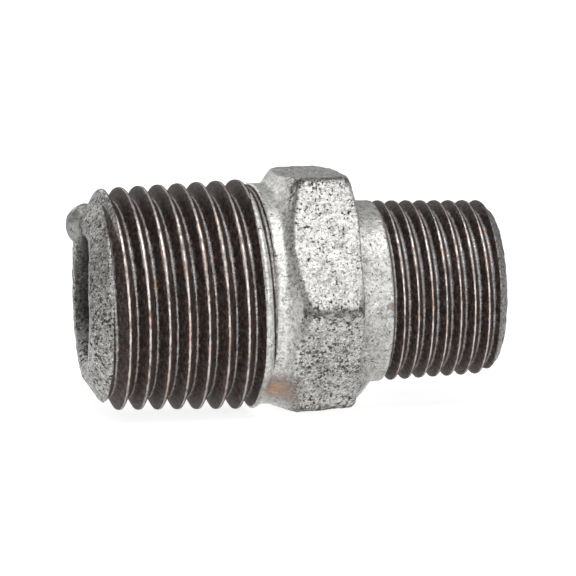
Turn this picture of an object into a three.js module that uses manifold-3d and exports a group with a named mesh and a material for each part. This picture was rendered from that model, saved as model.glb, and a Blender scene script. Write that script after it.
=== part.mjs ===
// Reducing hexagon nipple: a short pipe fitting of galvanised malleable iron with a male taper pipe thread on
// each end, R 1/2 and R 3/8 (ISO 7-1, both right-hand), a hexagon between them for a spanner, and an open bore.
//
// Millimetres. X runs along the axis, with +X towards the small end. +Z is up, and one flat of the hexagon faces
// down. The origin is on the axis, halfway between the two end faces.

import * as THREE from "three";
import { mergeVertices } from "three/addons/utils/BufferGeometryUtils.js";
import Module from "manifold-3d";

// ---------------------------------------------------------------- driving dimensions

const overallLength = 38.5;
const boreDiameter = 11.5;
const boreEdgeChamfer = 0.35;

// The hexagon takes up the length that the threads and necks leave.
const hexagon = {
  acrossFlats: 21.4,
  cornerRadius: 1.2,
  coneAngle: 52, // degrees between the cone towards the large end and the axis
  chamferAngle: 60, // degrees between the chamfer towards the small end and the axis
};

const threadTaper = 1 / 16; // growth in diameter for each millimetre of length
const flankAngle = 27.5; // degrees, half of the 55 degree thread form
const crestWear = 0.12; // how far the worn crests stand below the basic thread form

const largeEnd = {
  gaugeDiameter: 20.955,
  gaugeLength: 8.2, // from the end face to the gauge plane
  pitch: 25.4 / 14,
  startAngle: 208, // degrees about the axis from +Y, where the groove leaves the end face
  threadedLength: 15.6, // from the end face to where the groove has run out
  washoutLength: 2.7, // the stretch over which the groove gets shallower
  neckDiameter: 20.3,
  neckLength: 1.6, // from the end of the thread to the hexagon
  faceWidth: 1.4, // width of the flat ring round the bore's broken edge
  lipLength: 2.1, // length of the lead-in chamfer
};

const smallEnd = {
  gaugeDiameter: 16.662,
  gaugeLength: 6.4,
  pitch: 25.4 / 19,
  startAngle: 9,
  threadedLength: 12,
  washoutLength: 1.6,
  neckDiameter: 16.7,
  neckLength: 2.35,
  faceWidth: 0.95,
  lipLength: 0.95,
};

const drip = {
  height: 3.4, // across the tear, along Z
  width: 2.6, // across the tear, along Y
  proud: 0.75, // beyond the end face
  insideRim: 0.5, // from the outer edge of the end face's ring in to the middle of the tear
  angle: 70, // degrees about the axis from +Y
};

const facetsPerTurn = 28;
const facetsPerCorner = 3; // of the hexagon
const dripFacets = 24; // round the tear

const halfLength = overallLength / 2;
const boreRadius = boreDiameter / 2;
const hexagonStart = -halfLength + largeEnd.threadedLength + largeEnd.neckLength;
const hexagonEnd = halfLength - smallEnd.threadedLength - smallEnd.neckLength;

// ---------------------------------------------------------------- solids

const wasm = await Module();
wasm.setup();

// The closed solid of a three.js geometry.
function solidOf(geometry) {
  const bare = geometry.clone();
  bare.deleteAttribute("normal");
  bare.deleteAttribute("uv");
  const merged = mergeVertices(bare);
  return new wasm.Manifold(
    new wasm.Mesh({
      numProp: 3,
      vertProperties: merged.getAttribute("position").array,
      triVerts: new Uint32Array(merged.index.array),
    }),
  );
}

// The three.js geometry of a solid.
function geometryOf(solid) {
  const mesh = solid.getMesh();
  const geometry = new THREE.BufferGeometry();
  geometry.setAttribute("position", new THREE.BufferAttribute(new Float32Array(mesh.vertProperties), 3));
  geometry.setIndex(new THREE.BufferAttribute(new Uint32Array(mesh.triVerts), 1));
  const faceted = geometry.toNonIndexed();
  faceted.computeVertexNormals();
  return faceted;
}

// A solid of revolution about the X axis, from an outline of [x, radius] pairs that starts and ends on the axis.
function turned(outline) {
  const points = outline.map(([x, radius]) => new THREE.Vector2(radius, x));
  const geometry = new THREE.LatheGeometry(points, facetsPerTurn);
  return solidOf(geometry.rotateZ(-Math.PI / 2));
}

const radians = THREE.MathUtils.degToRad;
const tangent = (degrees) => Math.tan(radians(degrees));

// ---------------------------------------------------------------- threads
// Each end is made in its own frame, with its end face at x = 0 and its metal at x > 0.

// Depth of the 55 degree form between crest and root, both cut off by a sixth of the sharp triangle's height.
const threadDepth = (end) => end.pitch / 3 / tangent(flankAngle);

const basicRadius = (end, x) => (end.gaugeDiameter + (x - end.gaugeLength) * threadTaper) / 2;
const crestRadius = (end, x) => basicRadius(end, x) - crestWear;

// The ring of the end face is as wide as it can be up to its full width, without reaching past the thread.
function faceRadius(end) {
  const fullRing = boreRadius + boreEdgeChamfer + end.faceWidth;
  return Math.min(fullRing, crestRadius(end, end.lipLength));
}

// The end before it is threaded: face, lead-in chamfer, cone of the crests and neck, as far as the hexagon.
function blank(end, length) {
  const threadEnd = end.threadedLength;
  const neckStart = threadEnd + Math.abs(crestRadius(end, threadEnd) - end.neckDiameter / 2);
  return turned([
    [0, 0],
    [0, faceRadius(end)],
    [end.lipLength, crestRadius(end, end.lipLength)],
    [threadEnd, crestRadius(end, threadEnd)],
    [neckStart, end.neckDiameter / 2],
    [length, end.neckDiameter / 2],
    [length, 0],
  ]);
}

// The helical groove as a solid: its section is extruded straight, one step for each facet, with z counting
// turns, and then each point is wound round the axis. It lifts out of the metal over the washout.
function grooveCutter(end) {
  const { pitch } = end;
  const rootHalf = pitch / 12;
  const reach = threadDepth(end);
  const topHalf = rootHalf + reach * tangent(flankAngle);
  const section = new THREE.Shape([
    new THREE.Vector2(-rootHalf, 0),
    new THREE.Vector2(rootHalf, 0),
    new THREE.Vector2(topHalf, reach),
    new THREE.Vector2(-topHalf, reach),
  ]);
  const firstTurn = -1;
  const steps = Math.ceil((end.threadedLength / pitch - firstTurn) * facetsPerTurn);
  const turns = steps / facetsPerTurn;
  const groove = new THREE.ExtrudeGeometry(section, { depth: turns, steps, bevelEnabled: false });
  const washoutStart = end.threadedLength - end.washoutLength;
  const position = groove.getAttribute("position");
  for (let i = 0; i < position.count; i++) {
    const turn = firstTurn + position.getZ(i);
    const x = turn * pitch + position.getX(i);
    const lift = Math.max(0, (turn * pitch - washoutStart) / end.washoutLength) * reach;
    const radius = basicRadius(end, x) - reach + lift + position.getY(i);
    const angle = radians(end.startAngle) + turn * 2 * Math.PI;
    position.setXYZ(i, x, radius * Math.cos(angle), radius * Math.sin(angle));
  }
  return solidOf(groove);
}

// The blank is turned to the groove's start, so that the facets of the two line up.
function threadedEnd(end, length) {
  return blank(end, length).rotate([end.startAngle, 0, 0]).subtract(grooveCutter(end));
}

// ---------------------------------------------------------------- hexagon

// A hexagon with rounded corners, with flats facing +X and -X of the shape.
function hexagonShape() {
  const shape = new THREE.Shape();
  const { acrossFlats, cornerRadius } = hexagon;
  const toArcCentre = (acrossFlats / 2 - cornerRadius) / Math.cos(Math.PI / 6);
  for (let corner = 0; corner < 6; corner++) {
    const angle = ((corner + 0.5) * Math.PI) / 3;
    shape.absarc(
      toArcCentre * Math.cos(angle),
      toArcCentre * Math.sin(angle),
      cornerRadius,
      angle - Math.PI / 6,
      angle + Math.PI / 6,
    );
  }
  return shape;
}

// The hexagon, cut back on both sides by the cones that trim its corners.
function hexagonBlock() {
  const { acrossFlats, coneAngle, chamferAngle } = hexagon;
  const neck = largeEnd.neckDiameter / 2;
  const outer = acrossFlats / Math.sqrt(3);
  const chamferStart = (acrossFlats / 2 + outer) / 2;
  const prism = new THREE.ExtrudeGeometry(hexagonShape(), {
    depth: hexagonEnd - hexagonStart,
    bevelEnabled: false,
    curveSegments: facetsPerCorner,
  });
  const trim = turned([
    [hexagonStart, 0],
    [hexagonStart, neck],
    [hexagonStart + (outer - neck) / tangent(coneAngle), outer],
    [hexagonEnd - (outer - chamferStart) / tangent(chamferAngle), outer],
    [hexagonEnd, chamferStart],
    [hexagonEnd, 0],
  ]);
  return solidOf(prism.rotateY(Math.PI / 2).translate(hexagonStart, 0, 0)).intersect(trim);
}

// ---------------------------------------------------------------- casting

// The through bore, flared at both ends where its edges are broken.
function boreCutter() {
  const past = 1; // how far the cutter sticks out of each end
  const flareRadius = boreRadius + boreEdgeChamfer + past;
  return turned([
    [-halfLength - past, 0],
    [-halfLength - past, flareRadius],
    [-halfLength + boreEdgeChamfer, boreRadius],
    [halfLength - boreEdgeChamfer, boreRadius],
    [halfLength + past, flareRadius],
    [halfLength + past, 0],
  ]);
}

// The two threaded ends meet inside the hexagon.
function castingSolid() {
  const middle = (hexagonStart + hexagonEnd) / 2;
  const large = threadedEnd(largeEnd, halfLength + middle).translate([-halfLength, 0, 0]);
  const small = threadedEnd(smallEnd, halfLength - middle).rotate([0, 0, 180]).translate([halfLength, 0, 0]);
  return large.add(hexagonBlock()).add(small).subtract(boreCutter());
}

// ---------------------------------------------------------------- zinc drip

// A flattened, rounded tear on the rim of the large end, shaped underneath by the rim that it froze on.
function dripSolid(casting) {
  const angle = radians(drip.angle);
  const fromAxis = faceRadius(largeEnd) - drip.insideRim;
  const ball = new THREE.SphereGeometry(1, dripFacets, (dripFacets * 2) / 3);
  const sunk = drip.proud; // as deep below the face as it stands proud of it
  ball.scale(drip.proud + sunk, drip.width / 2, drip.height / 2);
  ball.translate(-halfLength + sunk, fromAxis * Math.cos(angle), fromAxis * Math.sin(angle));
  return solidOf(ball).subtract(casting);
}

// ---------------------------------------------------------------- assembly

const galvanisedIron = new THREE.MeshStandardMaterial({ color: 0xb3b8ba, roughness: 0.5, metalness: 0.7 });
const frozenZinc = new THREE.MeshStandardMaterial({ color: 0xa3a7a6, roughness: 0.4, metalness: 0.8 });

function part(name, solid, material) {
  const mesh = new THREE.Mesh(geometryOf(solid), material);
  mesh.name = name;
  return mesh;
}

const casting = castingSolid();
const nipple = new THREE.Group();
nipple.add(part("nipple_casting", casting, galvanisedIron));
nipple.add(part("zinc_drip", dripSolid(casting), frozenZinc));

export default nipple;
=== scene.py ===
"""Looks of the reducing hexagon nipple: one closed, finely modelled skin over the casting and one over the
zinc drip, with procedural galvanising, bare cut threads, worn crests and rust, on a plain pale floor.

Lengths of the object are in millimetres, and each mesh is scaled to metres when it is made. X runs along the
nipple towards its small end, and angles about that axis are counted from +Y towards +Z.
"""

import math

import bpy
import numpy as np
from mathutils import Matrix, Vector, noise


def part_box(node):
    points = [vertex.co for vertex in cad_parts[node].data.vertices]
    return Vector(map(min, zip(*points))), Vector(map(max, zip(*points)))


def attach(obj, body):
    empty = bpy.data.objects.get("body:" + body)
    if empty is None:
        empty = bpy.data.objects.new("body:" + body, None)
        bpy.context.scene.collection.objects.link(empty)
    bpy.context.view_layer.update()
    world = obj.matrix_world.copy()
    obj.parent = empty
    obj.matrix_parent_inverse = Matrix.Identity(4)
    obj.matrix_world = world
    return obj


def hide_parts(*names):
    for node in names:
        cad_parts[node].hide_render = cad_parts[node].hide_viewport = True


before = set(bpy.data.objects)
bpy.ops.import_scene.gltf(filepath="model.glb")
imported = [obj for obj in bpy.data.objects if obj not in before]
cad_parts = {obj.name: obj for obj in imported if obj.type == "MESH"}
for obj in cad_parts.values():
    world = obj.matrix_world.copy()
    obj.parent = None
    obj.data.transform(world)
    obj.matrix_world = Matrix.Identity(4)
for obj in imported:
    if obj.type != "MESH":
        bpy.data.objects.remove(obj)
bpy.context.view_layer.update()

MM = 0.001
CASTING = "nipple_casting"
DRIP = "zinc_drip"

# ------------------------------------------------------------------ sizes of the casting, mm

casting_low, casting_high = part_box(CASTING)
drip_low, drip_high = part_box(DRIP)
HALF_LENGTH = casting_high[0] / MM
BORE_RADIUS = 5.75
BORE_FLARE = 0.35
THREAD_TAPER = 1 / 32  # growth in radius for each millimetre of length
CREST_WEAR = 0.12
FLANK_ANGLE = math.radians(27.5)

LARGE = {
    "side": -1,
    "gauge_radius": 20.955 / 2,
    "gauge_length": 8.2,
    "pitch": 25.4 / 14,
    "start_angle": math.radians(208),
    "washout": (15.0, 16.5),  # from the end face: where the groove starts to lift, and where it has gone
    "neck": (15.2, 16.4),  # where the cone of the crests gives way to the neck
    "neck_radius": 10.15,
    "face_radius": 7.3,
    "lip": 2.15,
}
SMALL = {
    "side": 1,
    "gauge_radius": 16.662 / 2,
    "gauge_length": 6.4,
    "pitch": 25.4 / 19,
    "start_angle": math.radians(9),
    "washout": (10.6, 11.4),
    "neck": (11.0, 12.2),
    "neck_radius": 8.35,
    "face_radius": 7.05,
    "lip": 0.9,
}
HEX = {
    "apothem": 10.7,
    "corner_radius": 0.6,
    "start": -1.8,
    "cone_slope": math.tan(math.radians(52)),
    "end": 4.9,
    "chamfer_slope": math.tan(math.radians(60)),
    "chamfer_height": 0.55,  # above the flats, where the chamfer meets the face
    "web": 2.45,  # height of the fillet between the underside of the small neck and the face
    "web_inset": 0.15,  # how far the fillet stays below the face's edge
    "foot": 0.6,  # how far the rounding at the cone's foot reaches along the large neck
}

# How far this casting is from true. The hexagon sits above the axis of the threads and the small thread below
# it, the large thread is cut at a slight tilt, and the large end face leans out on the -Y side.
HEX_RISE = 0.3
HEX_DRAFT = 0.05  # how much thinner its lower half gets for each millimetre towards the small end
HEX_DRAFT_START = -2  # from the cone's foot, where the lower half would have its full size
HEX_FACE_BULGE = 0.22  # how far its small-end face stands out at the top and the bottom
HEX_FRONT_SPREAD = 0.3  # how far the two corners of its upper front flat stand apart from their true places
SMALL_DROP = 0.15
SMALL_DROP_LENGTH = 3  # from the hexagon's face, the stretch over which the drop comes in
LARGE_THREAD_LEAN = math.tan(math.radians(0.55))
LARGE_THREAD_BACK = 0.1
LARGE_FACE_LEAN = math.tan(math.radians(4.0))
LARGE_FACE_BACK = -0.02
LARGE_FACE_WORN = 0.5  # how far the upper front of that face is worn back
LARGE_FACE_REACH = (0.2, 2.4)  # from the face: where its lean and wear start to fade, and where they are gone

# Marks: place along the axis, angle in degrees, and how far they reach along and round the axis.
RUST_SPOTS = [
    (-2.4, 231.5, 2.1, 2.8),
    (-14.05, 165, 0.5, 1.1),
    (8.0, 182, 0.4, 0.5),
]
NICKS = [
    (-2.85, 153, 0.35, 0.13),
    (-2.5, 176, 0.15, 0.2),
    (-2.0, 163.7, 0.8, 0.1),
]

# The roughness of the surface: the size of its lumps, the noise's octaves and seed, and the lumps' heights.
LUMPS = {"size": 3.5, "octaves": 2, "seed": 11.0}
GRAIN = {"size": 0.9, "octaves": 3, "seed": 37.0}
TEARS = {"size": 0.35, "octaves": 2, "seed": 71.0}
LUMP_HEIGHT = 0.03
GRAIN_HEIGHT = 0.02
COARSE_GRAIN_HEIGHT = 0.035  # more where the zinc is coarse
TEAR_HEIGHT = 0.008
BURR_HEIGHT = 0.02  # of the tears along the crests

# How pitted the zinc is, how dark it has gone and how soiled it is; the darkening and the soiling also carry
# painted shade and painted light, as marked. The lines that begin with "lower" or end with "floor" are added
# on the lower side only.
COARSE = {
    "hexagon": 0.6,
    "lower_hexagon": 0.4,
    "corners": 0.5,
    "necks": 0.2,
    "large_lip": 1.0,
    "small_lip": 0.7,
}
DULL_AND_SHADE = {
    "hexagon": 0.3,
    # painted shade on the lower flats
    "lower_hexagon": 0.3,
    "large_neck": 0.05,
    "small_neck": 0.42,
    # painted shade on the undersides of the necks
    "lower_necks": 0.25,
    "beside_face": 0.4,  # painted shade on the small neck, close to the hexagon
    "large_lip": 0.8,
    # painted light on the lower side of the large lip
    "lower_large_lip": -0.25,
    "small_lip": 0.8,
    # painted shade inside the bore, and painted light on its lower side near the large mouth
    "bore": 1.2,
    "bore_floor": -0.9,
}
DIRT_AND_SHADE = {
    # painted shade on the cone, where it meets the flats
    "cone_edge": 0.42,
    "face_edge": 0.4,
    "corners": 0.34,
    "lip_top": 0.4,
    "small_lip": 0.5,
    "nicks": 0.7,
    # painted shade inside the bore, and painted light on its lower side near the large mouth
    "bore": 0.55,
    "bore_floor": -0.4,
}

# ------------------------------------------------------------------ the skin's grid
# The skin is a grid that closes on itself both ways: along the outside from the large end to the small one
# and back through the bore, and round the axis. Its rows climb by one pitch of either thread in each turn, so
# that they run along the crests and the roots.

ROWS_PER_PITCH = 12
COLUMNS = 292
ROWS = {
    "large_face": 5,
    "large_outside": 104,
    "middle": 56,
    "hex_face": 14,
    "small_outside": 128,
    "small_face": 5,
    "bore": 28,
}
BORE_CROWDING = 0.8  # how much closer the bore's rows are at both mouths, from 0 to 1
FACE_SNAP = 8  # the power that keeps the hexagon's face flat until it meets the small neck
ROW_STARTS = dict(zip(ROWS, np.cumsum([0, *ROWS.values()])))
ROW_COUNT = sum(ROWS.values())


def smoothstep(low, high, value):
    t = np.clip((value - low) / (high - low), 0, 1)
    return t * t * (3 - 2 * t)


def facing_down(angle, start, full):
    """From 0 to 1 as the outside turns to face down, between these two sines."""
    return smoothstep(start, full, -np.sin(angle))


def facing(angle, degrees, width):
    """1 where the outside faces this way round the axis, falling off over the width, in degrees."""
    off = np.abs((angle - math.radians(degrees) + math.pi) % (2 * math.pi) - math.pi)
    return np.exp(-((off / math.radians(width)) ** 2))


def soft_min(a, b, width):
    """The smaller of two values, rounded off where they are within width of each other."""
    near = np.clip(0.5 + 0.5 * (b - a) / width, 0, 1)
    return b * (1 - near) + a * near - width * near * (1 - near)


def soft_max(a, b, width):
    return -soft_min(-a, -b, width)


def thread_depth(end):
    return end["pitch"] / 3 / math.tan(FLANK_ANGLE)


def crest_cone(end, reach):
    """Radius of the crests at a distance from the end face."""
    return end["gauge_radius"] + (reach - end["gauge_length"]) * THREAD_TAPER - CREST_WEAR


def blank_radius(end, reach):
    """The end before it is threaded."""
    cone = crest_cone(end, reach)
    lip_slope = (crest_cone(end, end["lip"]) - end["face_radius"]) / end["lip"]
    blank = soft_min(cone, end["face_radius"] + lip_slope * reach, 0.25)
    return blank + (end["neck_radius"] - cone) * smoothstep(*end["neck"], reach)


def turns_past_root(end, reach, angle):
    own_angle = angle if end["side"] < 0 else math.pi - angle
    return reach / end["pitch"] - (own_angle - end["start_angle"]) / (2 * math.pi)


def sharp_height(end, reach, angle):
    """Height on the 55 degree form before its edges are cut off: the root is below 0, the crest above 1."""
    turns = turns_past_root(end, reach, angle)
    return 3 * (np.abs(turns - np.round(turns)) - 1 / 12)


def thread_height(end, reach, angle):
    return soft_max(soft_min(sharp_height(end, reach, angle), 1, 0.15), 0, 0.25)


def threaded_radius(end, reach, angle):
    """The end's radius, and how deep the groove is cut there below the blank."""
    blank = blank_radius(end, reach)
    depth = thread_depth(end)
    lift = np.clip((reach - end["washout"][0]) / (end["washout"][1] - end["washout"][0]), 0, 1)
    crest = np.where(reach > 2 * end["lip"], blank, crest_cone(end, reach))
    groove = crest - depth * (1 - lift) + depth * thread_height(end, reach, angle)
    groove = np.where(lift < 1, groove, blank)
    return np.minimum(blank, groove), np.maximum(blank - groove, 0)


def hexagon_radius(angle):
    """The rounded hexagon in polar form, one flat facing down."""
    from_flat = np.abs((angle % (math.pi / 3)) - math.pi / 6)
    apothem, corner = HEX["apothem"], HEX["corner_radius"]
    centre = (apothem - corner) / math.cos(math.pi / 6)
    tangent = math.atan((apothem - corner) * math.tan(math.pi / 6) / apothem)
    from_corner = math.pi / 6 - from_flat
    offset = np.maximum(corner**2 - (centre * np.sin(from_corner)) ** 2, 0)
    arc = centre * np.cos(from_corner) + np.sqrt(offset)
    return np.where(from_flat > tangent, arc, apothem / np.cos(from_flat))


def block_radius(x, angle):
    """The hexagon with the cone behind the large neck and the chamfer towards the small end."""
    draft = HEX_DRAFT * (x - HEX["start"] - HEX_DRAFT_START) * facing_down(angle, 0.3, 0.9)
    flats = hexagon_radius(angle) + HEX_RISE * np.sin(angle) - draft
    cone = LARGE["neck_radius"] + (x - HEX["start"]) * HEX["cone_slope"]
    chamfer = HEX["apothem"] + HEX["chamfer_height"] + (HEX["end"] - x) * HEX["chamfer_slope"]
    return soft_min(soft_min(flats, cone, 0.35), chamfer, 0.3)


def outside_radius(x, angle):
    """Radius of the outside, and the depth of the thread's cut there."""
    large, large_cut = threaded_radius(LARGE, x + HALF_LENGTH, angle)
    small, small_cut = threaded_radius(SMALL, HALF_LENGTH - x, angle)
    web = SMALL["neck_radius"] + HEX["web"] * facing_down(angle, 0.55, 0.85) - (x - HEX["end"])
    web = soft_min(web, block_radius(HEX["end"], angle) - HEX["web_inset"], 0.3)
    small = soft_max(small, web, 0.3)
    on_block = x > HEX["start"] - HEX["foot"]
    before_face = x <= HEX["end"]
    block = soft_max(large, block_radius(x, angle), 0.4)
    radius = np.where(before_face, np.where(on_block, block, large), small)
    cut = np.where(before_face, np.where(on_block, 0, large_cut), small_cut)
    return radius, cut


def grid_coordinates():
    """Row parameter and angle of every point, as arrays of columns by rows."""
    column = np.arange(COLUMNS)[:, None]
    row = np.arange(ROW_COUNT)[None, :]
    along = (row + ROWS_PER_PITCH * column / COLUMNS) % ROW_COUNT
    angle = np.broadcast_to(2 * math.pi * column / COLUMNS, along.shape)
    return along, angle


def rows_into(name, along):
    return along - ROW_STARTS[name]


def share_of(name, along):
    """How far along the named stretch of rows a point is, from 0 to 1."""
    return np.clip(rows_into(name, along) / ROWS[name], 0, 1)


def within(name, along):
    return (rows_into(name, along) >= 0) & (rows_into(name, along) < ROWS[name])


def between(start, end, share):
    return start + (end - start) * share


def reach_of_row(end, rows_from_face):
    """Distance from the end face, with the rows shifted so that they fall mid-crest and mid-root."""
    shift = ROWS_PER_PITCH * turns_past_root(end, 0, 0)
    step = end["pitch"] / ROWS_PER_PITCH
    return np.maximum((rows_from_face - (shift % 1)) * step, 0)


def skin_profile(along, angle):
    """Place along the axis, radius and depth of cut of every grid point."""
    mouth = BORE_RADIUS + BORE_FLARE
    large_reach = reach_of_row(LARGE, rows_into("large_outside", along))
    small_reach = reach_of_row(SMALL, ROWS["small_outside"] - rows_into("small_outside", along))
    middle_start = -HALF_LENGTH + reach_of_row(LARGE, ROWS["large_outside"])
    through = share_of("bore", along)
    through = through - BORE_CROWDING * np.sin(2 * math.pi * through) / (2 * math.pi)
    neck_start = HALF_LENGTH - reach_of_row(SMALL, ROWS["small_outside"])
    rim, _ = outside_radius(np.full_like(along, HEX["end"]), angle)
    foot, _ = outside_radius(np.full_like(along, neck_start), angle)
    fall = share_of("hex_face", along)

    x = np.zeros_like(along)
    places = {
        "large_face": np.full_like(along, -HALF_LENGTH),
        "large_outside": large_reach - HALF_LENGTH,
        "middle": between(middle_start, HEX["end"], share_of("middle", along)),
        "hex_face": between(HEX["end"], neck_start, fall**FACE_SNAP),
        "small_outside": HALF_LENGTH - small_reach,
        "small_face": np.full_like(along, HALF_LENGTH),
        "bore": HALF_LENGTH * (1 - 2 * through),
    }
    for name, place in places.items():
        x = np.where(within(name, along), place, x)
    radius, cut = outside_radius(x, angle)
    flare = np.maximum(BORE_FLARE - (HALF_LENGTH - np.abs(x)), 0)
    radii = {
        "large_face": between(mouth, LARGE["face_radius"], share_of("large_face", along)),
        "hex_face": between(rim, foot, fall),
        "small_face": between(SMALL["face_radius"], mouth, share_of("small_face", along)),
        "bore": BORE_RADIUS + flare,
    }
    for name, value in radii.items():
        radius = np.where(within(name, along), value, radius)
        cut = np.where(within(name, along), 0, cut)
    return x, radius, cut


def next_column(values):
    """The neighbours one column on. Past the last column the rows have climbed by one pitch."""
    return np.concatenate([values[1:], np.roll(values[:1], -ROWS_PER_PITCH, axis=1)])


def previous_column(values):
    return np.concatenate([np.roll(values[-1:], ROWS_PER_PITCH, axis=1), values[:-1]])


def normals_of(points):
    round_axis = next_column(points) - previous_column(points)
    along_axis = np.roll(points, -1, axis=1) - np.roll(points, 1, axis=1)
    normal = np.cross(round_axis, along_axis)
    return normal / np.linalg.norm(normal, axis=2, keepdims=True)


def smoothed(values, keep, passes):
    """Values averaged with their neighbours along the rows, except where keep is 1."""
    for _ in range(passes):
        average = (2 * values + np.roll(values, 1, axis=1) + np.roll(values, -1, axis=1)) / 4
        values = keep * values + (1 - keep) * average
    return values


def noise_field(points, size, octaves, seed):
    """Fractal noise from -1 to 1 at every grid point, with lumps about size millimetres across."""
    flat = points.reshape(-1, 3) / size + seed
    found = [noise.fractal(Vector(p), 0.7, 2.1, octaves) for p in flat]
    return np.array(found).reshape(points.shape[:2])


def lean_of_large_end(points):
    """How far the large end's points move along the axis, for the lean and wear of its face and thread."""
    x, y, z = np.moveaxis(points, 2, 0)
    near_face = 1 - smoothstep(*LARGE_FACE_REACH, x + HALF_LENGTH)
    on_thread = 1 - smoothstep(HEX["start"] - 2.5, HEX["start"] - 0.5, x)
    upper_front = smoothstep(1, 7, z) * smoothstep(-3, 3, -y)
    face = near_face * (LARGE_FACE_BACK + LARGE_FACE_LEAN * y + LARGE_FACE_WORN * upper_front)
    thread = on_thread * (LARGE_THREAD_BACK - LARGE_THREAD_LEAN * z)
    return face + thread


def shift_of_hexagon(points, angle):
    """How far its points move along the axis and up, for the bulge of its face and its front corners."""
    x, y, z = np.moveaxis(points, 2, 0)
    before_edge = smoothstep(HEX["end"] - 1.5, HEX["end"], x)
    on_face = before_edge * (1 - smoothstep(HEX["end"] + 0.6, HEX["end"] + 3, x))
    bulge = HEX_FACE_BULGE * on_face * smoothstep(3, 9, np.abs(z))
    on_corner = smoothstep(HEX["apothem"] + 0.1, HEX["apothem"] + 1.1, np.hypot(y, z))
    up_and_down = facing(angle, 120, 16) - facing(angle, 180, 16)
    return bulge, HEX_FRONT_SPREAD * on_corner * up_and_down


def out_of_true(points, angle):
    """Small shifts that bring the true shape to this casting's own."""
    points[:, :, 0] += lean_of_large_end(points)
    along_axis, up = shift_of_hexagon(points, angle)
    points[:, :, 0] += along_axis
    points[:, :, 2] += up
    on_small_end = smoothstep(HEX["end"], HEX["end"] + SMALL_DROP_LENGTH, points[:, :, 0])
    points[:, :, 2] -= SMALL_DROP * on_small_end
    return points


def skin_points():
    """The casting's grid points with the roughness of the casting, and the masks for its material."""
    along, angle = grid_coordinates()
    x, radius, cut = skin_profile(along, angle)
    masks = skin_masks(along, angle, x, cut)
    keep = np.clip(2 * smoothed(masks["bare"], 0, 1), 0, 1)
    x = smoothed(x, keep, 1)
    radius = smoothed(radius, keep, 1)
    points = np.stack([x, radius * np.cos(angle), radius * np.sin(angle)], axis=2)
    lumps = noise_field(points, **LUMPS)
    grain = noise_field(points, **GRAIN)
    tears = noise_field(points * [1, 0.5, 0.5], **TEARS)  # drawn out round the axis
    grain_height = GRAIN_HEIGHT + COARSE_GRAIN_HEIGHT * masks["coarse"]
    cast = LUMP_HEIGHT * lumps + grain_height * grain
    burrs = masks["crest"] * BURR_HEIGHT * (tears - 0.6)
    relief = (1 - keep) * cast + keep * (TEAR_HEIGHT * tears + burrs)
    return out_of_true(points + normals_of(points) * relief[:, :, None], angle), masks


def marks(spots, x, angle):
    """1 in the middle of each spot."""
    found = np.zeros_like(x)
    for place, degrees, length, width in spots:
        round_axis = (angle - math.radians(degrees)) * LARGE["neck_radius"]
        found = np.maximum(found, np.exp(-(((x - place) / length) ** 2) - (round_axis / width) ** 2))
    return found


class Places:
    """Which part of the casting every grid point is on."""

    LIP_MARGIN = 1  # how far past its chamfer a lip looks like a lip
    CONE_MARGIN = 0.9  # from the cone's foot to where the flats start

    def __init__(self, along, angle, x):
        self.along = along
        self.angle = angle
        self.x = x
        self.at_large = x < HEX["end"]
        self.reach = np.where(self.at_large, x + HALF_LENGTH, HALF_LENGTH - x)  # from its own end face
        self.in_bore = within("bore", along)
        on_end_face = within("large_face", along) | within("small_face", along)
        self.outside = ~self.in_bore & ~on_end_face
        self.on_hexagon = within("middle", along) & (x > HEX["start"] + self.CONE_MARGIN)
        self.on_large_lip = self.at_large & (self.reach < LARGE["lip"] + self.LIP_MARGIN)
        self.on_small_lip = ~self.at_large & (self.reach < SMALL["lip"] + self.LIP_MARGIN)
        near_mouth = (1 - smoothstep(1.0, 3.5, self.reach)) * self.at_large
        self.on_bore_floor = facing_down(angle, 0.3, 0.8) * near_mouth
        self.lower_flats = facing(angle, 210, 26) + facing(angle, 270, 30) + facing(angle, 330, 26)
        corners = [facing(angle, at, 4) + 0.8 * facing(angle, at, 1.5) for at in range(0, 360, 60)]
        self.corners = sum(corners)


def thread_masks(places, cut):
    """Threads cut after the galvanising, and their crests and roots, where they are worn bright."""
    angle, reach, at_large = places.angle, places.reach, places.at_large
    large_height = sharp_height(LARGE, places.x + HALF_LENGTH, angle)
    small_height = sharp_height(SMALL, HALF_LENGTH - places.x, angle)
    height = np.where(at_large, large_height, small_height)
    first = np.where(at_large, LARGE["lip"] + 0.1, SMALL["lip"] + 0.1)
    last_large = LARGE["washout"][0] - 0.1 + facing(angle, 85, 22)
    last = np.where(at_large, last_large, SMALL["washout"][0] + 0.1)
    past_first = smoothstep(first - 0.15, first + 0.15, reach)
    past_last = smoothstep(last - 0.15, last + 0.15, reach)
    threaded = past_first * (1 - past_last)
    grooved = smoothstep(0.06, 0.22, cut) * smoothstep(first - 0.85, first - 0.6, reach)
    bare = np.maximum(threaded, grooved) * places.outside
    worn_above = 0.1 * (facing(angle, 148, 22) + facing(angle, 32, 22))  # wider edges on the upper sides
    crest = bare * smoothstep(0.95, 1.2, height + worn_above) * threaded
    root_height = height - worn_above - np.where(at_large, 0, 0.08)
    root = bare * (1 - smoothstep(-0.2, 0.02, root_height))
    return {"bare": bare, "crest": crest, "root": root}


def painted_sheen_mask(angle):
    """Painted highlight on the worn edges, by facing: least at the very top and on the lower side."""
    off_top = 0.55 + 0.45 * smoothstep(0, 0.2, np.abs(np.cos(angle)))
    return off_top * (1 - 0.5 * facing_down(angle, 0.3, 0.95))


def coarse_mask(places):
    lower = COARSE["lower_hexagon"] * places.lower_flats
    on_hexagon = COARSE["hexagon"] + lower + COARSE["corners"] * places.corners
    coarse = np.where(places.on_hexagon, on_hexagon, COARSE["necks"])
    coarse = np.where(places.on_small_lip, COARSE["small_lip"], coarse)
    return np.where(places.on_large_lip, COARSE["large_lip"], coarse)


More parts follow.
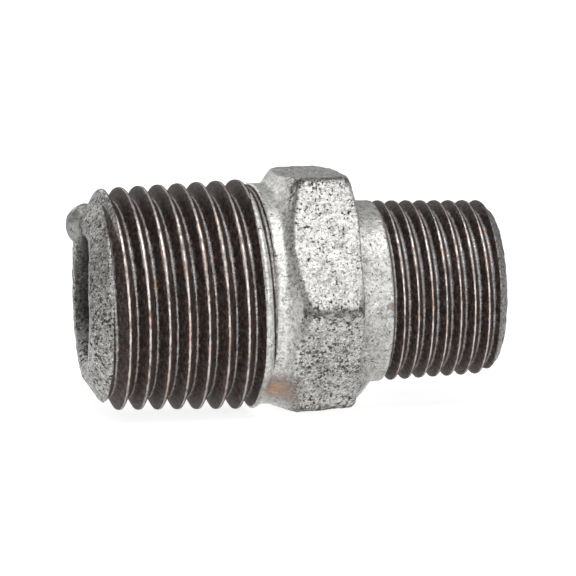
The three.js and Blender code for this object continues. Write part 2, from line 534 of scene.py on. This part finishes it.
def dull_and_shade_mask(places):
    angle = places.angle
    necks = np.where(places.at_large, DULL_AND_SHADE["large_neck"], DULL_AND_SHADE["small_neck"])
    # the lower flats get painted shade
    on_hexagon = DULL_AND_SHADE["hexagon"] + DULL_AND_SHADE["lower_hexagon"] * places.lower_flats
    # painted light on the lower side of the large lip
    on_large_lip = DULL_AND_SHADE["large_lip"] + DULL_AND_SHADE["lower_large_lip"] * facing_down(angle, -0.2, 0.8)
    dull_and_shade = np.where(places.on_hexagon, on_hexagon, necks)
    dull_and_shade = np.where(places.on_large_lip, on_large_lip, dull_and_shade)
    dull_and_shade = np.where(places.on_small_lip, DULL_AND_SHADE["small_lip"], dull_and_shade)
    # painted shade on the undersides of the necks and on the small neck beside the hexagon's face
    lower_necks = facing_down(angle, 0.1, 0.9) * ~places.on_hexagon * ~places.on_large_lip
    from_face = places.x - HEX["end"]
    beside_face = np.exp(-(((from_face - 0.5) / 0.6) ** 2)) * within("small_outside", places.along)
    dull_and_shade = dull_and_shade + DULL_AND_SHADE["lower_necks"] * lower_necks + DULL_AND_SHADE["beside_face"] * beside_face
    # painted shade inside the bore, and painted light on its lower side near the large mouth
    in_bore = DULL_AND_SHADE["bore"] + DULL_AND_SHADE["bore_floor"] * places.on_bore_floor
    return np.where(places.in_bore, in_bore, dull_and_shade)


def dirt_and_shade_mask(places):
    x, angle, outside = places.x, places.angle, places.outside
    face_edge = np.exp(-(((x - HEX["end"]) / 0.25) ** 2)) * (share_of("hex_face", places.along) < 0.2)
    past_cone = x - HEX["start"] - (hexagon_radius(angle) - LARGE["neck_radius"]) / HEX["cone_slope"]
    # painted shade on the cone, darkest where it meets the flats
    cone_edge = smoothstep(-1.3, 0.1, past_cone) * (1 - smoothstep(0.1, 0.6, past_cone))
    lip_top = facing(angle, 115, 28) * smoothstep(0.8, 1.6, places.reach) * places.on_large_lip
    found = {
        "cone_edge": cone_edge,
        "face_edge": face_edge,
        "corners": places.corners * places.on_hexagon,
        "lip_top": lip_top,
        "small_lip": places.on_small_lip,
        "nicks": marks(NICKS, x, angle),
    }
    dirt_and_shade = np.maximum.reduce([DIRT_AND_SHADE[name] * share * outside for name, share in found.items()])
    # painted shade inside the bore, and painted light on its lower side near the large mouth
    in_bore = DIRT_AND_SHADE["bore"] + DIRT_AND_SHADE["bore_floor"] * places.on_bore_floor
    return np.where(places.in_bore, in_bore, dirt_and_shade)


def skin_masks(along, angle, x, cut):
    """Where the material changes, and how much, at every grid point.

    bare: cut iron. crest and root: its worn edges. painted_sheen: a painted highlight on them, by facing.
    coarse: how pitted the zinc is.
    dull_and_shade: how dark the zinc has gone, with painted shade below, beside the hexagon's face and in the
    bore, and painted light on the lower large lip and the bore's floor. dirt_and_shade: how soiled it is,
    with painted shade on the
    cone and in the bore. rust: how rusty any surface is.
    """
    places = Places(along, angle, x)
    masks = thread_masks(places, cut)
    masks["painted_sheen"] = painted_sheen_mask(angle)
    masks["coarse"] = coarse_mask(places)
    masks["dull_and_shade"] = dull_and_shade_mask(places)
    masks["dirt_and_shade"] = dirt_and_shade_mask(places)
    masks["rust"] = marks(RUST_SPOTS, x, angle) * places.outside
    return masks


def grid_faces():
    column = np.arange(COLUMNS)[:, None]
    row = np.arange(ROW_COUNT)[None, :]

    def index(columns, rows):
        climbed = np.where(columns >= COLUMNS, rows + ROWS_PER_PITCH, rows)
        return (columns % COLUMNS) * ROW_COUNT + climbed % ROW_COUNT

    corners = [
        index(column, row),
        index(column + 1, row),
        index(column + 1, row + 1),
        index(column, row + 1),
    ]
    return np.stack(np.broadcast_arrays(*corners), axis=2).reshape(-1, 4)


def mesh_object(name, points, faces, masks):
    """A smooth mesh in metres from points in millimetres, with one float attribute for each mask."""
    mesh = bpy.data.meshes.new(name)
    mesh.from_pydata((points.reshape(-1, 3) * MM).tolist(), [], faces)
    for mask, values in masks.items():
        layer = mesh.attributes.new(mask, "FLOAT", "POINT")
        layer.data.foreach_set("value", values.astype(np.float32).ravel())
    mesh.shade_smooth()
    piece = bpy.data.objects.new(name, mesh)
    bpy.context.scene.collection.objects.link(piece)
    return piece


def make_casting():
    points, masks = skin_points()
    piece = mesh_object("casting_skin", points, grid_faces().tolist(), masks)
    piece.data.materials.append(casting_material())
    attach(piece, "root")
    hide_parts(CASTING)


# ------------------------------------------------------------------ the drip

DRIP_RINGS = 48
DRIP_SEGMENTS = 64
DRIP_SHIFT = [0.05, 0, 0.05]  # from the middle of its solid, mm
DRIP_GROWTH = [1.1, 1.2, 1.15]  # how much larger it is than its solid
DRIP_TAPER = 0.12  # how much fuller it is at the top
DRIP_LEAN = 0.6  # how far its top leans back over the rim, mm
DRIP_LUMPS = {"places_per_radius": 1.3, "height": 0.07, "seed": Vector((5, 3, 9))}


def drip_shape():
    """Points of a ball of radius 1, fuller at the top: rings from the top down, then its top and bottom."""
    ring = np.linspace(0, math.pi, DRIP_RINGS + 1)[1:-1, None]
    turn = np.linspace(0, 2 * math.pi, DRIP_SEGMENTS, endpoint=False)[None, :]
    up = np.cos(ring) + 0 * turn
    across = np.sin(ring) * (1 + DRIP_TAPER * up)
    rings = np.stack([across * np.cos(turn), across * np.sin(turn), up], axis=2)
    return np.concatenate([rings.reshape(-1, 3), [[0, 0, 1], [0, 0, -1]]])


def drip_faces():
    faces = []
    last_ring = (DRIP_RINGS - 2) * DRIP_SEGMENTS
    top = last_ring + DRIP_SEGMENTS
    bottom = top + 1
    for a in range(DRIP_SEGMENTS):
        b = (a + 1) % DRIP_SEGMENTS
        faces.append((top, a, b))
        faces.append((bottom, last_ring + b, last_ring + a))
        for start in range(0, last_ring, DRIP_SEGMENTS):
            faces.append((start + a, start + a + DRIP_SEGMENTS, start + b + DRIP_SEGMENTS, start + b))
    return faces


def make_drip():
    """A rounded lump with the uneven skin of frozen zinc, a little larger than its solid."""
    low, high = np.array(drip_low) / MM, np.array(drip_high) / MM
    centre = (low + high) / 2 + DRIP_SHIFT
    half = (high - low) / 2 * DRIP_GROWTH
    shape = drip_shape()
    spread, seed = DRIP_LUMPS["places_per_radius"], DRIP_LUMPS["seed"]
    uneven = [noise.fractal(Vector(p) * spread + seed, 0.8, 2.0, 3) for p in shape]
    points = centre + shape * half * (0.98 + DRIP_LUMPS["height"] * np.array(uneven)[:, None])
    points[:, 0] += DRIP_LEAN * np.maximum(shape[:, 2], 0) ** 2
    piece = mesh_object("drip_skin", points, drip_faces(), {})
    piece.data.materials.append(drip_material())
    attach(piece, "root")
    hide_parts(DRIP)


# ------------------------------------------------------------------ materials


class Nodes:
    """Short ways to add and join the shader nodes of one material. Values may be numbers or sockets."""

    def __init__(self, name):
        self.material = bpy.data.materials.new(name)
        self.material.use_nodes = True
        self.tree = self.material.node_tree
        self.shader = self.tree.nodes["Principled BSDF"]
        self.place = self.add("ShaderNodeTexCoord").outputs["Object"]

    def add(self, kind, inputs=None, **settings):
        node = self.tree.nodes.new(kind)
        for setting, value in settings.items():
            setattr(node, setting, value)
        for name, value in (inputs or {}).items():
            self.put(node.inputs[name], value)
        return node

    def put(self, socket, value):
        if isinstance(value, bpy.types.NodeSocket):
            self.tree.links.new(value, socket)
        else:
            socket.default_value = value

    def noise(self, name):
        return self.noise_of(**NOISES[name])

    def noise_of(self, size_mm, detail, roughness=0.6, stretch=None):
        place = self.place
        if stretch:
            place = self.add("ShaderNodeMapping", {"Vector": place, "Scale": stretch}).outputs["Vector"]
        inputs = {"Vector": place, "Scale": 1 / (size_mm * MM), "Detail": detail, "Roughness": roughness}
        return self.add("ShaderNodeTexNoise", inputs).outputs["Fac"]

    def ramp(self, value, low, high, to_low=0, to_high=1):
        inputs = {"Value": value, "From Min": low, "From Max": high, "To Min": to_low, "To Max": to_high}
        return self.add("ShaderNodeMapRange", inputs).outputs["Result"]

    def math(self, operation, a, b):
        node = self.add("ShaderNodeMath", operation=operation)
        self.put(node.inputs[0], a)
        self.put(node.inputs[1], b)
        return node.outputs[0]

    def times(self, a, b):
        return self.math("MULTIPLY", a, b)

    def plus(self, a, b):
        return self.math("ADD", a, b)

    def larger(self, a, b):
        return self.math("MAXIMUM", a, b)

    def mix(self, share, a, b):
        """A colour between a and b."""
        node = self.add("ShaderNodeMix", data_type="RGBA")
        for index, value in ((0, share), (6, a), (7, b)):
            if not isinstance(value, (int, float, bpy.types.NodeSocket)):
                value = (*value, 1)
            self.put(node.inputs[index], value)
        return node.outputs[2]

    def blend(self, share, a, b):
        """A number between a and b."""
        node = self.add("ShaderNodeMix", data_type="FLOAT")
        for index, value in ((0, share), (2, a), (3, b)):
            self.put(node.inputs[index], value)
        return node.outputs[0]

    def mask(self, name):
        return self.add("ShaderNodeAttribute", attribute_name=name).outputs["Fac"]

    def finish(self, colour, roughness, metallic, height, depth_mm):
        bump = self.add("ShaderNodeBump", {"Height": height, "Strength": 1.0, "Distance": depth_mm * MM})
        self.put(self.shader.inputs["Base Color"], colour)
        self.put(self.shader.inputs["Roughness"], roughness)
        self.put(self.shader.inputs["Metallic"], metallic)
        self.put(self.shader.inputs["Normal"], bump.outputs["Normal"])
        return self.material


# The materials' noises: the size of their lumps in millimetres, their detail, and how they are drawn out.
NOISES = {
    "grit": {"size_mm": 0.14, "detail": 2},
    "streaks": {"size_mm": 0.2, "detail": 4, "roughness": 0.8, "stretch": (0.3, 1, 1)},
    "scuffs": {"size_mm": 0.22, "detail": 4, "roughness": 0.75, "stretch": (1, 0.4, 0.4)},
    "specks": {"size_mm": 0.3, "detail": 3, "roughness": 0.75},
    "fine": {"size_mm": 0.4, "detail": 4, "roughness": 0.75},
    "blotches": {"size_mm": 0.45, "detail": 3, "roughness": 0.7},
    "breaks": {"size_mm": 0.6, "detail": 3, "roughness": 0.7, "stretch": (1, 0.6, 0.6)},
    "crowds_of_pits": {"size_mm": 1.3, "detail": 2},
    "clouds": {"size_mm": 1.4, "detail": 4},
    "patches": {"size_mm": 2.2, "detail": 2},
    "drip_pits": {"size_mm": 0.25, "detail": 2},
    "drip_relief": {"size_mm": 0.4, "detail": 3},
    "drip_clouds": {"size_mm": 0.8, "detail": 4},
}
CASTING_RELIEF = 0.05  # mm
CASTING_SPECULAR = 0.22
DRIP_RELIEF = 0.04  # mm
DRIP_METALLIC = 0.5

ZINC_LIGHT = (0.66, 0.655, 0.635)
ZINC_MIDDLE = (0.31, 0.307, 0.295)
ZINC_DULL = (0.17, 0.168, 0.158)
ZINC_SHADE = (0.08, 0.075, 0.07)
ZINC_SPARK = (0.97, 0.97, 0.96)
DRIP_LIGHT = (0.34, 0.34, 0.325)
DRIP_DARK = (0.13, 0.13, 0.12)
PIT = (0.035, 0.028, 0.025)
# dark soiling, and the painted shade on the cone and in the bore
GRIME_AND_SHADE = (0.06, 0.052, 0.048)
CUT_IRON = (0.014, 0.0085, 0.0075)
CUT_IRON_PALE = (0.10, 0.075, 0.068)
WORN_STEEL = (0.66, 0.60, 0.57)
COPPERY = (0.62, 0.44, 0.36)
RUST = (0.52, 0.26, 0.10)
RUST_SPECK = (0.22, 0.085, 0.035)
STAINED_ZINC = (0.15, 0.11, 0.085)
ROOT_STEEL = (0.60, 0.585, 0.58)


def zinc_colour(nodes, fine, grit, speck, pits):
    """Light grey with duller clouds, bright grains, dark pits, soiled corners, painted shade and a rust
    stain.
    """
    coarse = nodes.mask("coarse")
    clouds = nodes.noise("clouds")
    zinc = nodes.mix(nodes.ramp(fine, 0.46, 0.62), ZINC_LIGHT, ZINC_MIDDLE)
    # painted shade below, beside the hexagon's face and in the bore, and painted light on the lower large lip
    # and the bore's floor, come in with this darkening
    dull_and_shade = nodes.plus(nodes.mask("dull_and_shade"), nodes.ramp(clouds, 0.35, 0.75, -0.25, 0.35))
    zinc = nodes.mix(dull_and_shade, zinc, nodes.mix(nodes.ramp(fine, 0.4, 0.6), ZINC_MIDDLE, ZINC_DULL))
    gritty = nodes.times(nodes.ramp(grit, 0.52, 0.68), nodes.blend(coarse, 0.25, 0.7))
    zinc = nodes.mix(gritty, zinc, ZINC_DULL)
    sparks = nodes.times(nodes.ramp(grit, 0.42, 0.30), nodes.blend(coarse, 0.35, 0.85))
    zinc = nodes.mix(sparks, zinc, ZINC_SPARK)
    blotches = nodes.ramp(nodes.noise("blotches"), 0.53, 0.63)
    blotches = nodes.times(blotches, nodes.ramp(coarse, 0.6, 1.0, 0, 0.8))
    zinc = nodes.mix(blotches, zinc, ZINC_SHADE)
    zinc = nodes.mix(pits, zinc, PIT)
    # soiling, with the painted shade on the cone and in the bore
    soiled_and_shaded = nodes.ramp(nodes.plus(nodes.mask("dirt_and_shade"), nodes.times(speck, 0.8)), 0.62, 1.05)
    zinc = nodes.mix(nodes.times(soiled_and_shaded, 0.9), zinc, GRIME_AND_SHADE)
    return nodes.mix(nodes.ramp(nodes.mask("rust"), 0.2, 0.85, 0, 0.8), zinc, STAINED_ZINC)


def iron_colour(nodes, grit):
    """The cut threads: dark flanks with rust specks, and bright metal on worn crests and in roots. That metal
    carries a painted highlight that fades at the very top and on the lower side, where the flanks are painted
    paler instead.

    It also gives how bright the metal is.
    """
    painted_sheen = nodes.mask("painted_sheen")
    scuff = nodes.noise("scuffs")
    patches = nodes.noise("patches")
    # painted light: the flanks are paler where the painted highlight fades, at the very top and on the lower
    # side
    pale = nodes.plus(scuff, nodes.times(painted_sheen, -0.12))
    iron = nodes.mix(nodes.ramp(pale, 0.32, 0.62), CUT_IRON, CUT_IRON_PALE)
    rusty = nodes.ramp(nodes.noise("blotches"), 0.62, 0.70, 0, 0.8)
    iron = nodes.mix(rusty, iron, RUST_SPECK)
    iron = nodes.mix(nodes.ramp(grit, 0.30, 0.22), iron, ROOT_STEEL)

    root = nodes.ramp(nodes.plus(nodes.mask("root"), nodes.times(scuff, 1.6)), 1.1, 1.65)
    root = nodes.times(root, nodes.ramp(patches, 0.3, 0.6, 0.45, 1.0))
    root = nodes.times(root, nodes.ramp(grit, 0.36, 0.56, 1.0, 0.4))
    # painted highlight on the roots, fading at the very top and on the lower side
    root = nodes.times(root, painted_sheen)
    iron = nodes.mix(root, iron, ROOT_STEEL)

    breaks = nodes.ramp(nodes.noise("breaks"), 0.36, 0.56, 0.35, 1.0)
    crest = nodes.times(nodes.ramp(nodes.plus(nodes.mask("crest"), scuff), 0.85, 1.2), breaks)
    # painted highlight on the crests, fading at the very top and on the lower side
    crest = nodes.times(crest, painted_sheen)
    metal = nodes.mix(nodes.ramp(patches, 0.52, 0.66), WORN_STEEL, COPPERY)
    return nodes.mix(crest, iron, metal), nodes.larger(crest, root)


def casting_material():
    nodes = Nodes("galvanised_iron")
    coarse = nodes.mask("coarse")
    fine = nodes.noise("fine")
    grit = nodes.noise("grit")
    speck = nodes.noise("specks")
    crowd = nodes.ramp(nodes.noise("crowds_of_pits"), 0.35, 0.65, 0.035, -0.045)
    limit = nodes.plus(nodes.blend(coarse, 0.635, 0.537), crowd)
    pits = nodes.ramp(nodes.math("SUBTRACT", speck, limit), 0.0, 0.05)
    bare = nodes.ramp(nodes.plus(nodes.mask("bare"), nodes.times(fine, 0.5)), 0.65, 0.85)
    iron, bright = iron_colour(nodes, grit)
    colour = nodes.mix(bare, zinc_colour(nodes, fine, grit, speck, pits), iron)

    streaks = nodes.noise("streaks")
    stain = nodes.ramp(nodes.plus(nodes.times(nodes.mask("rust"), 0.45), streaks), 0.87, 1.0)
    colour = nodes.mix(nodes.times(stain, 0.85), colour, RUST)

    polish = nodes.blend(coarse, 0.26, 0.36)
    roughness = nodes.blend(bare, nodes.blend(pits, polish, 0.8), nodes.blend(bright, 0.6, 0.28))
    metallic = nodes.blend(bare, nodes.blend(pits, 0.5, 0.0), bright)
    relief = nodes.plus(fine, nodes.times(speck, -1))
    nodes.shader.inputs["Specular IOR Level"].default_value = CASTING_SPECULAR
    return nodes.finish(colour, roughness, metallic, relief, CASTING_RELIEF)


def drip_material():
    nodes = Nodes("frozen_zinc")
    clouds = nodes.noise("drip_clouds")
    colour = nodes.mix(nodes.ramp(clouds, 0.35, 0.7), DRIP_LIGHT, DRIP_DARK)
    pits = nodes.ramp(nodes.noise("drip_pits"), 0.62, 0.68)
    colour = nodes.mix(pits, colour, PIT)
    roughness = nodes.ramp(clouds, 0.3, 0.7, 0.35, 0.55)
    return nodes.finish(colour, roughness, DRIP_METALLIC, nodes.noise("drip_relief"), DRIP_RELIEF)


# ------------------------------------------------------------------ camera, light and floor, in metres

CAMERA = {
    "azimuth": math.radians(-12.27),
    "elevation": math.radians(7.82),
    "roll": math.radians(-0.477),
    "distance": 0.5764,
    "lens": 391.6,
    "aim_along": 0.000185,  # the point it looks at: along the axis, and above it in the picture
    "aim_above": 0.000386,
}
LIGHTS = {
    "front": {"place": (0.14, -0.55, 0.16), "size": (0.4, 0.3), "power": 1.2},
    "high": {"place": (0.08, -0.22, 0.55), "size": (0.5, 0.4), "power": 2.75},
    "back": {"place": (-0.20, 0.50, 0.25), "size": (0.4, 0.3), "power": 0.8},
}
SKY_STRENGTH = 0.25
FLOOR_REACH = 6
FLOOR_PAINT = (0.4, 0.4, 0.4)
FLOOR_ROUGHNESS = 0.7
FLOOR_GLOW = 0.85


def make_camera():
    azimuth, elevation = CAMERA["azimuth"], CAMERA["elevation"]
    back = Vector((
        math.sin(azimuth) * math.cos(elevation),
        -math.cos(azimuth) * math.cos(elevation),
        math.sin(elevation),
    ))
    level = back.to_track_quat("Z", "Y").to_matrix()
    turned = level @ Matrix.Rotation(CAMERA["roll"], 3, "Z")
    aim = Vector((CAMERA["aim_along"], 0, 0)) + turned.col[1] * CAMERA["aim_above"]
    data = bpy.data.cameras.new("camera")
    data.sensor_width = 36
    data.lens = CAMERA["lens"]
    data.clip_start = 0.01
    data.clip_end = 20
    camera = bpy.data.objects.new("camera", data)
    camera.matrix_world = Matrix.Translation(aim + back * CAMERA["distance"]) @ turned.to_4x4()
    bpy.context.scene.collection.objects.link(camera)
    bpy.context.scene.camera = camera


def make_light(name, place, size, power):
    data = bpy.data.lights.new(name, "AREA")
    data.shape = "RECTANGLE"
    data.size, data.size_y = size
    data.energy = power
    lamp = bpy.data.objects.new(name, data)
    lamp.location = place
    lamp.rotation_euler = (-Vector(place)).to_track_quat("-Z", "Y").to_euler()
    bpy.context.scene.collection.objects.link(lamp)


def make_sky():
    world = bpy.data.worlds.new("studio")
    world.use_nodes = True
    sky = world.node_tree.nodes["Background"]
    sky.inputs["Color"].default_value = (1, 1, 1, 1)
    sky.inputs["Strength"].default_value = SKY_STRENGTH
    bpy.context.scene.world = world


def floor_material():
    material = bpy.data.materials.new("floor_paint")
    material.use_nodes = True
    shader = material.node_tree.nodes["Principled BSDF"]
    shader.inputs["Base Color"].default_value = (*FLOOR_PAINT, 1)
    shader.inputs["Roughness"].default_value = FLOOR_ROUGHNESS
    shader.inputs["Emission Color"].default_value = (1, 1, 1, 1)
    shader.inputs["Emission Strength"].default_value = FLOOR_GLOW
    return material


def make_floor():
    """A wide square under the hexagon's lower flat."""
    mesh = bpy.data.meshes.new("floor")
    ground = float(casting_low[2])
    corners = [(-1, -1), (1, -1), (1, 1), (-1, 1)]
    points = [(a * FLOOR_REACH, b * FLOOR_REACH, ground) for a, b in corners]
    mesh.from_pydata(points, [], [(0, 1, 2, 3)])
    floor = bpy.data.objects.new("floor", mesh)
    floor.data.materials.append(floor_material())
    bpy.context.scene.collection.objects.link(floor)


# ------------------------------------------------------------------ the scene

bpy.context.scene.view_settings.view_transform = "Standard"
make_camera()
make_sky()
for light_name, light in LIGHTS.items():
    make_light(light_name, **light)
make_floor()
make_casting()
make_drip()
